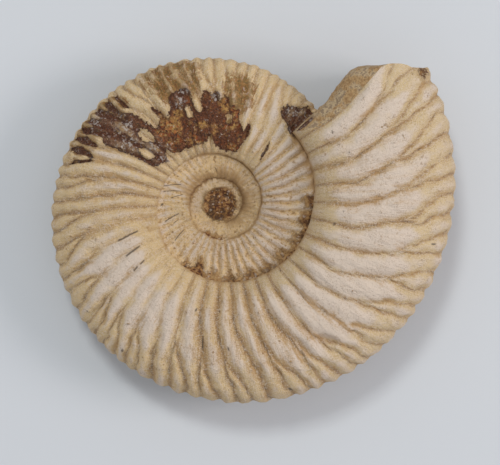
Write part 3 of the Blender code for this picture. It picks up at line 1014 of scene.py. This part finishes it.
class FossilSettings(bpy.types.PropertyGroup):
    """Sizes and colours of the fossil."""

    wear: bpy.props.FloatProperty(
        name="Worn flats", default=0.006, min=0.0, max=0.02,
        description="How much is worn off the lowest rib crests, in shares of the mouth's radius",
    )
    shell: colour_setting("Shell", "Cream of the shell", 0.605, 0.45, 0.262)
    # Also the painted white glints on the grains of the crusts and the middle.
    crest: colour_setting("Crests", "Pinkish white of the rib crests", 0.68, 0.555, 0.46)
    buff: colour_setting("Buff", "Duller patches of the shell", 0.54, 0.385, 0.2)
    honey: colour_setting("Honey", "Yellower shell of the inner whorls", 0.76, 0.52, 0.255)
    ochre: colour_setting("Ochre", "Warm stains of the shell", 0.47, 0.285, 0.125)
    stain: colour_setting("Stain", "Brown stain in grooves and seams", 0.28, 0.15, 0.06)
    # Dirt, scratches and specks, and also the painted shade in the bottoms of the rib grooves.
    grime_and_shade: colour_setting("Grime", "Grey-brown dirt, scratches and specks", 0.11, 0.08, 0.055)
    crystal: colour_setting("Crystal", "Red-brown crystals", 0.165, 0.052, 0.018)
    amber: colour_setting("Amber", "Lighter crystals", 0.33, 0.155, 0.045)
    # Painted glints on the crystals.
    glint_gold: colour_setting("Gold", "Glittering crystals", 0.45, 0.25, 0.075)
    flame: colour_setting("Flame", "Reddest crystals", 0.35, 0.09, 0.02)
    # Also the painted shade along the inside edge of the flaked patch.
    dark: colour_setting("Dark crystal", "Darkest crystals", 0.05, 0.02, 0.012)
    mauve: colour_setting("Mauve", "Dull lilac-brown crystals", 0.215, 0.15, 0.125)
    # Also the painted white glints on the crystals.
    pale_crystal: colour_setting("Pale crystal", "Grey-white crystals", 0.5, 0.43, 0.39)
    olive: colour_setting("Olive", "Thin shell over brown crystals", 0.2, 0.125, 0.048)
    rock: colour_setting("Rock", "Tan rock of the mouth", 0.44, 0.3, 0.18)


class StageSettings(bpy.types.PropertyGroup):
    """The studio round the fossil."""

    floor: colour_setting("Floor", "Pale cool floor", 0.61, 0.62, 0.65)
    main_power: bpy.props.FloatProperty(
        name="Main light", description="Strength of the main light", default=3.6, min=0.0, unit="POWER"
    )
    fill_power: bpy.props.FloatProperty(
        name="Fill light", description="Strength of the fill light", default=3.9, min=0.0, unit="POWER"
    )
    lens: bpy.props.FloatProperty(
        name="Lens", description="Camera lens in mm", default=150.0, min=20.0, max=400.0
    )


class FOSSIL_OT_add_fossil(bpy.types.Operator):
    """Adds the ammonite, fitted to the frame"""

    bl_idname = "fossil.add_fossil"
    bl_label = "Add the fossil"

    def execute(self, context):
        settings = context.scene.fossil
        skin = Skin()
        upper, upper_middle = add_side(skin, UPPER_ROWS, 1)
        lower, lower_middle = add_side(skin, LOWER_ROWS, -1, upper[-1])
        close_middle(skin, upper_middle, 1)
        close_middle(skin, lower_middle, -1)
        close_mouth(skin, upper, lower)
        skin.points = lie_on_frame(skin.points, settings.wear)
        mesh = skin.make_mesh("fossil")
        mesh.materials.append(stone_material(settings))
        fossil = bpy.data.objects.new("fossil", mesh)
        context.scene.collection.objects.link(fossil)
        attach(fossil, "root")
        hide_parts("ammonite")
        return {"FINISHED"}


def add_light(name, place, target, size, power, colour):
    """Adds a soft square light that faces the target."""
    light = bpy.data.lights.new(name, "AREA")
    light.size = size
    light.energy = power
    light.color = colour
    lamp = bpy.data.objects.new(name, light)
    lamp.location = place
    lamp.rotation_euler = (target - place).to_track_quat("-Z", "Y").to_euler()
    bpy.context.scene.collection.objects.link(lamp)


class FOSSIL_OT_add_stage(bpy.types.Operator):
    """Adds the floor, the lights and the camera"""

    bl_idname = "fossil.add_stage"
    bl_label = "Add the stage"

    def execute(self, context):
        settings = context.scene.fossil_stage
        middle = (FRAME_LOW + FRAME_HIGH) / 2
        width = FRAME_HIGH.x - FRAME_LOW.x
        bpy.ops.mesh.primitive_plane_add(size=width * 60, location=(0, 0, FRAME_LOW.z))
        floor = context.object
        floor.name = "floor"
        paper = bpy.data.materials.new("floor_paper")
        paper.use_nodes = True
        shader = paper.node_tree.nodes["Principled BSDF"]
        shader.inputs["Base Color"].default_value = settings.floor
        shader.inputs["Roughness"].default_value = FLOOR_ROUGHNESS
        floor.data.materials.append(paper)
        right = middle + Vector((1, 0, 0.7)) * width * 10
        left = middle + Vector((-0.2, 0.62, 1.25)) * width * 10
        add_light("main_light", right, middle, width * 4.5, settings.main_power, (1, 0.95, 0.93))
        add_light("fill_light", left, middle, width * 2.5, settings.fill_power, (0.95, 1, 0.98))
        world = bpy.data.worlds.new("room")
        world.use_nodes = True
        sky = world.node_tree.nodes["Background"]
        sky.inputs["Color"].default_value = WORLD_COLOUR
        sky.inputs["Strength"].default_value = WORLD_POWER
        context.scene.world = world
        view = bpy.data.cameras.new("camera")
        view.lens = settings.lens
        camera = bpy.data.objects.new("camera", view)
        away = width * FRAME_MARGIN * settings.lens / view.sensor_width
        camera.location = (middle.x - width * 0.006, middle.y - width * 0.005, FRAME_HIGH.z * 0.6 + away)
        context.scene.collection.objects.link(camera)
        context.scene.camera = camera
        context.scene.view_settings.view_transform = "Standard"
        return {"FINISHED"}


class FOSSIL_PT_sidebar(bpy.types.Panel):
    """The fossil's settings and steps."""

    bl_idname = "FOSSIL_PT_sidebar"
    bl_label = "Ammonite fossil"
    bl_space_type = "VIEW_3D"
    bl_region_type = "UI"
    bl_category = "Fossil"

    def draw(self, context):
        layout = self.layout
        for group in (context.scene.fossil, context.scene.fossil_stage):
            for name in group.bl_rna.properties.keys()[2:]:
                layout.prop(group, name)
        layout.operator(FOSSIL_OT_add_fossil.bl_idname)
        layout.operator(FOSSIL_OT_add_stage.bl_idname)


CLASSES = (
    FossilSettings, StageSettings, FOSSIL_OT_add_fossil, FOSSIL_OT_add_stage, FOSSIL_PT_sidebar
)


def register():
    for part in CLASSES:
        bpy.utils.register_class(part)
    bpy.types.Scene.fossil = bpy.props.PointerProperty(type=FossilSettings)
    bpy.types.Scene.fossil_stage = bpy.props.PointerProperty(type=StageSettings)


def unregister():
    del bpy.types.Scene.fossil_stage
    del bpy.types.Scene.fossil
    for part in reversed(CLASSES):
        bpy.utils.unregister_class(part)


def main():
    register()
    bpy.ops.fossil.add_fossil()
    bpy.ops.fossil.add_stage()


if __name__ == "__main__":
    main()
